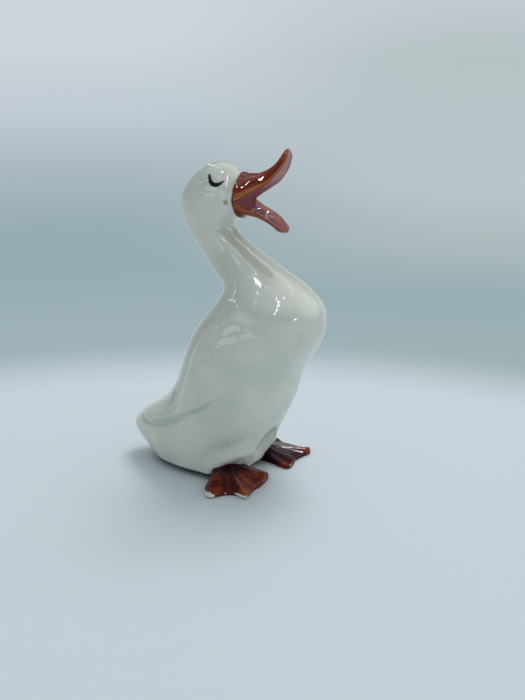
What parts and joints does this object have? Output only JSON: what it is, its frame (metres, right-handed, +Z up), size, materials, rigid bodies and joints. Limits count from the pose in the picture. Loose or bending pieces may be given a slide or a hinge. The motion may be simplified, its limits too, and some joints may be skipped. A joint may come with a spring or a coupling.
{
  "type": "duck figurine",
  "caption": "Standing white glazed duck figurine with an upright body, raised open beak, wings folded flat and webbed brown feet.",
  "frame": {"origin": "on the floor, under the middle of the flat base", "axes": "+X the way the duck faces, +Y its left, +Z up"},
  "size_m": [0.1372, 0.1045, 0.2028],
  "materials": {
    "white_glaze": "clear, very glossy glaze over white, with the beak, feet and closed eyes hand painted under it"
  },
  "bodies": {
    "root": {"duck_figurine": "white_glaze"}
  },
  "joints": []
}
